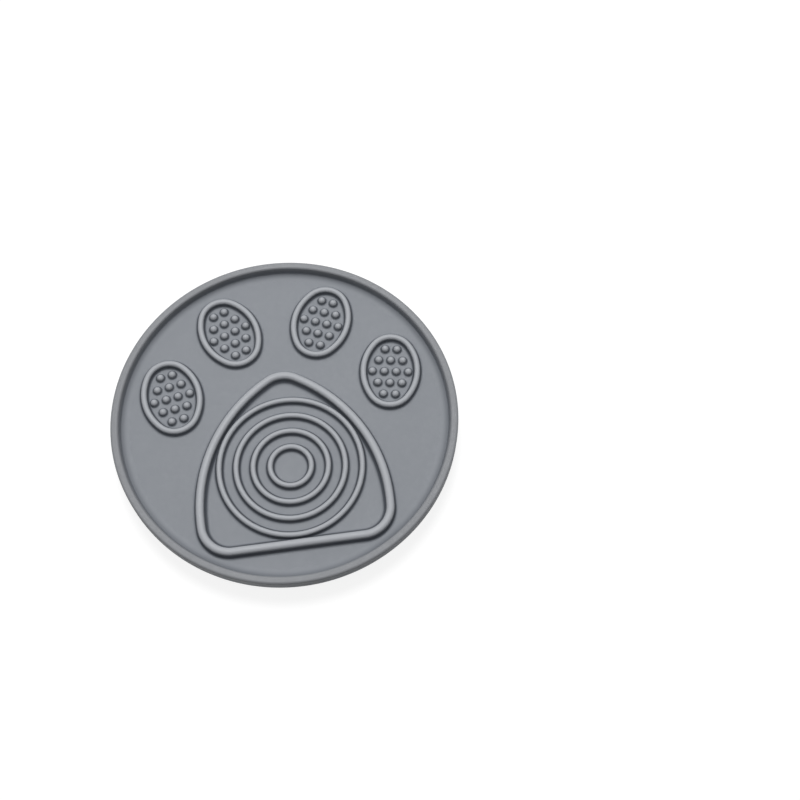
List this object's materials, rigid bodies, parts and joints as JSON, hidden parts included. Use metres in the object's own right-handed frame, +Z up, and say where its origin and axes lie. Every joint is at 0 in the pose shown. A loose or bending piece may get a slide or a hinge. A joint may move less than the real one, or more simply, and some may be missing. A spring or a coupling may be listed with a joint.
{
  "type": "lick mat",
  "caption": "Round silicone lick mat with a raised rim, a paw of ridges and nubs on its face, and a suction cup underneath.",
  "frame": {"origin": "centre of the suction cup's lip plane, where the mat stands on a surface", "axes": "+Z up through the licking face, +Y towards the paw's toes, +X to the right seen from above with the toes at the top"},
  "size_m": [0.15, 0.15, 0.015],
  "materials": {
    "silicone": "matte grey food-grade silicone, moulded"
  },
  "bodies": {
    "suction_foot": {"suction_cup": "silicone"},
    "mat": {"base_plate": "silicone", "outer_rim": "silicone", "heel_wall": "silicone", "lick_ring_1": "silicone", "lick_ring_2": "silicone", "lick_ring_3": "silicone", "lick_ring_4": "silicone", "toe_wall_outer_left": "silicone", "toe_wall_inner_left": "silicone", "toe_wall_inner_right": "silicone", "toe_wall_outer_right": "silicone", "toe_nubs_outer_left": "silicone", "toe_nubs_inner_left": "silicone", "toe_nubs_inner_right": "silicone", "toe_nubs_outer_right": "silicone", "suction_neck": "silicone"}
  },
  "joints": [
    {"name": "press_down", "type": "slide", "parent": "suction_foot", "child": "mat", "axis": [0, 0, -1], "range_m": [0, 0.005], "stiffness_N_per_m": 2500, "deforming": ["suction_cup"]}
  ]
}
